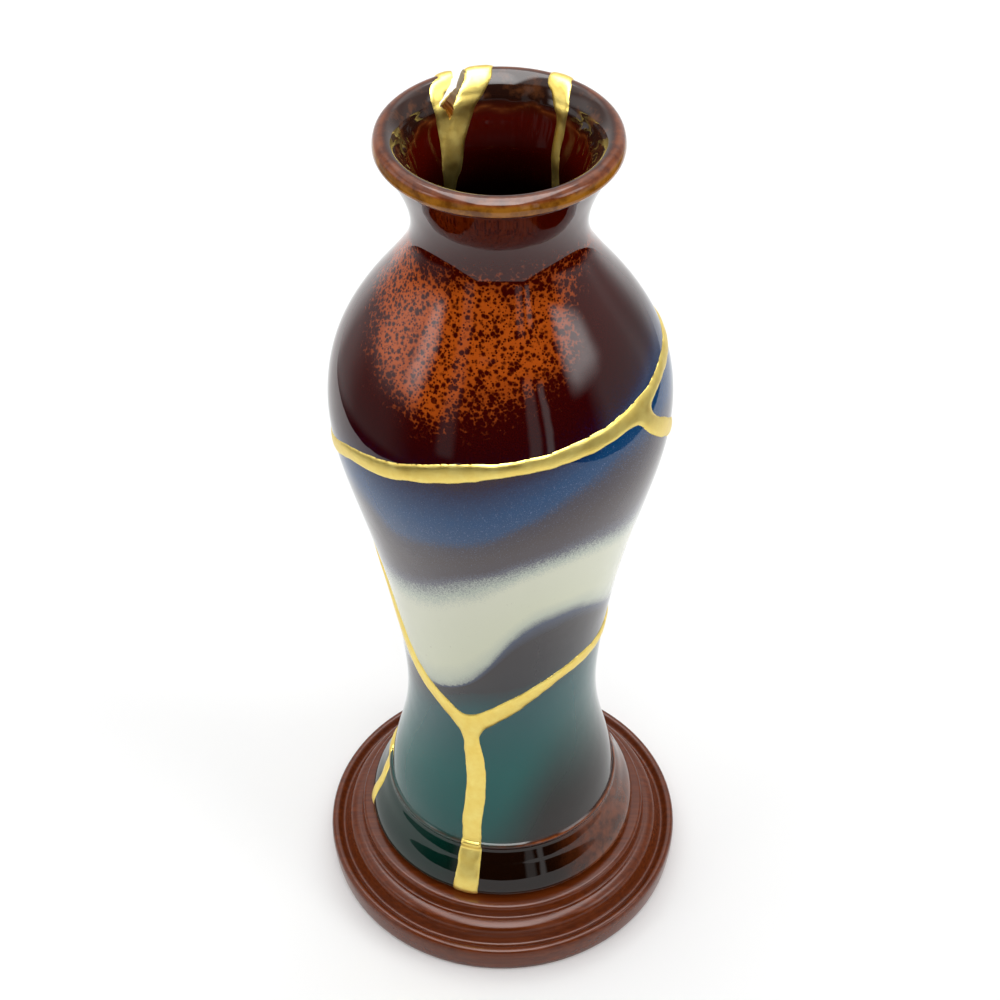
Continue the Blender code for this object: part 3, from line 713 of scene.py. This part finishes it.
# The room, by direction: a broad soft light overhead, pale walls behind and at the sides, dark in front.
world = bpy.data.worlds.new("soft_room")
bpy.context.scene.world = world
world.use_nodes = True
tree = world.node_tree
look = node(tree, "ShaderNodeSeparateXYZ", {0: node(tree, "ShaderNodeTexCoord").outputs["Generated"]})
front = node(tree, "ShaderNodeMath", {0: look.outputs["Y"], 1: -1.0}, operation="MULTIPLY")
bearing = node(tree, "ShaderNodeMath", {0: look.outputs["X"], 1: front.outputs[0]},
               operation="ARCTAN2").outputs[0]
rise = node(tree, "ShaderNodeMath", {0: look.outputs["Z"]}, operation="ARCSINE").outputs[0]


def between(value, low, high, soft):
    """1 where the value lies between low and high, falling to 0 over a soft edge twice as wide as given."""
    off = node(tree, "ShaderNodeMath", {0: value, 1: (low + high) / 2}, operation="SUBTRACT")
    off = node(tree, "ShaderNodeMath", {0: off.outputs[0]}, operation="ABSOLUTE")
    half = (high - low) / 2
    return node(tree, "ShaderNodeMapRange", {"Value": off.outputs[0], "From Min": half + soft,
                                             "From Max": half - soft},
                interpolation_type="SMOOTHSTEP").outputs[0]


# (bearing from, to, its soft edge, rise from, to, its soft edge, all in degrees, light)
cards = (
    (-400, 400, 1, 40, 200, 4, 1.05), (-22, 26, 6, 44, 78, 5, 2.0), (-150, -112, 14, -26, 60, 5, 0.55),
    (-112, -66, 14, -25, 40, 3, 0.22), (66, 118, 8, -14, 40, 4, 0.62), (118, 150, 14, -20, 60, 5, 0.55),
    (-400, -140, 12, -90, 60, 8, 0.9), (140, 400, 12, -90, 60, 8, 0.9), (-125, -80, 10, 2, 60, 6, 0.3),
    (-112, -60, 9, 8, 33, 7, 1.0), (-71, -59, 5, 15, 32, 6, 2.8), (54, 82, 6, 18, 40, 5, 4.2),
    (17.5, 24.5, 1.5, -9, 30, 2, 0.6), (28, 32.5, 1.2, -9, 27, 2, 1.1), (-39, -29, 3, -12, 33, 3, 0.35),
)
glow = 0.0
for *angles, light in cards:
    left, right, side_edge, low, high, end_edge = np.radians(angles).tolist()
    card = node(tree, "ShaderNodeMath", {0: between(bearing, left, right, side_edge),
                                         1: between(rise, low, high, end_edge)}, operation="MULTIPLY")
    glow = node(tree, "ShaderNodeMath", {0: card.outputs[0], 1: light, 2: glow},
                operation="MULTIPLY_ADD").outputs[0]
# A softbox overhead that only gloss sees: how far it reaches to the side and front, for each metre up.
ray = node(tree, "ShaderNodeLightPath")
aside = node(tree, "ShaderNodeMath", {0: look.outputs["X"], 1: look.outputs["Z"]},
             operation="DIVIDE").outputs[0]
ahead = node(tree, "ShaderNodeMath", {0: front.outputs[0], 1: look.outputs["Z"]},
             operation="DIVIDE").outputs[0]
softbox = node(tree, "ShaderNodeMath", {0: between(aside, -0.45, 0.42, 0.08),
                                        1: between(ahead, -0.55, 1.35, 0.10)},
               operation="MULTIPLY")
overhead = node(tree, "ShaderNodeMath", {0: look.outputs["Z"], 1: 0.3}, operation="GREATER_THAN")
softbox = node(tree, "ShaderNodeMath", {0: softbox.outputs[0], 1: overhead.outputs[0]}, operation="MULTIPLY")
softbox = node(tree, "ShaderNodeMath", {0: softbox.outputs[0], 1: ray.outputs["Is Glossy Ray"]},
               operation="MULTIPLY")
glow = node(tree, "ShaderNodeMath", {0: softbox.outputs[0], 1: 7.0, 2: glow},
            operation="MULTIPLY_ADD").outputs[0]
plain = node(tree, "ShaderNodeMix", {"Factor": ray.outputs["Is Camera Ray"], 2: glow, 3: 1.0})
tree.links.new(plain.outputs[0], tree.nodes["Background"].inputs["Strength"])
tree.nodes["Background"].inputs["Color"].default_value = (1.0, 1.0, 1.0, 1.0)
bpy.context.scene.view_settings.view_transform = "Standard"

TILT, ROLL = 42.963, -0.336  # degrees down and to the side
STANDPOINT = (-0.000257, -0.385946, 0.49511)  # metres
FOCAL_PIXELS, IMAGE_PIXELS = 2053.03, 1000
SENSOR = 36.0  # mm
lens = bpy.data.cameras.new("camera")
lens.sensor_width, lens.lens, lens.clip_start = SENSOR, FOCAL_PIXELS * SENSOR / IMAGE_PIXELS, 0.01
camera = bpy.data.objects.new("camera", lens)
turned_down = Matrix.Rotation(math.radians(90 - TILT), 4, "X") @ Matrix.Rotation(math.radians(ROLL), 4, "Z")
camera.matrix_world = Matrix.Translation(STANDPOINT) @ turned_down
bpy.context.scene.collection.objects.link(camera)
bpy.context.scene.camera = camera
